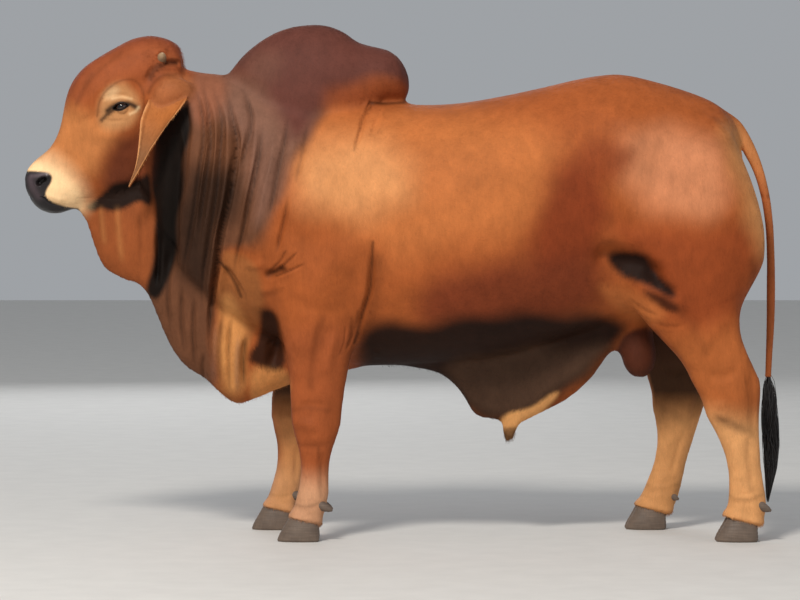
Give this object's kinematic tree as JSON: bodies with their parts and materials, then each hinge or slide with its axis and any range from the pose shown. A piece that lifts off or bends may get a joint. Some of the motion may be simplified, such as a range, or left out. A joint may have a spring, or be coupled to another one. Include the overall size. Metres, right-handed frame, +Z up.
{
  "type": "standing brahman bull display model",
  "caption": "Life-size still model of a humped, loose-skinned red zebu bull standing square, with drooping ears, dewlap, sheath and tail switch.",
  "frame": {"origin": "on the floor, under the middle of the whole bull's box", "axes": "+Z up, -X towards the head, +Y towards the bull's right side"},
  "size_m": [2.4548, 0.709, 1.661],
  "materials": {
    "red_coat": "short flat coat, orange red to pale tan, soft sheen",
    "dark_coat": "short flat coat, brown black over red, soft sheen",
    "switch_hair": "long straight black hair",
    "horn": "weathered pale horn",
    "hoof": "dry ringed hoof horn",
    "eye": "wet dark brown eye"
  },
  "bodies": {
    "root": {"claw_fore_left_inner": "hoof", "claw_fore_left_outer": "hoof", "claw_fore_right_inner": "hoof", "claw_fore_right_outer": "hoof", "claw_hind_left_inner": "hoof", "claw_hind_left_outer": "hoof", "claw_hind_right_inner": "hoof", "claw_hind_right_outer": "hoof", "dewclaw_fore_left_inner": "hoof", "dewclaw_fore_left_outer": "hoof", "dewclaw_fore_right_inner": "hoof", "dewclaw_fore_right_outer": "hoof", "dewclaw_hind_left_inner": "hoof", "dewclaw_hind_left_outer": "hoof", "dewclaw_hind_right_inner": "hoof", "dewclaw_hind_right_outer": "hoof", "dewlap": "red_coat", "ear_left": "red_coat", "ear_right": "red_coat", "eye_left": "eye", "eye_right": "eye", "foreleg_left": "red_coat", "foreleg_right": "red_coat", "head": "red_coat", "hindleg_left": "red_coat", "hindleg_right": "red_coat", "horn_stub_left": "horn", "horn_stub_right": "horn", "hump": "dark_coat", "neck": "dark_coat", "scrotum": "red_coat", "sheath": "red_coat", "tail": "red_coat", "tail_switch": "switch_hair", "torso": "red_coat"}
  },
  "joints": []
}
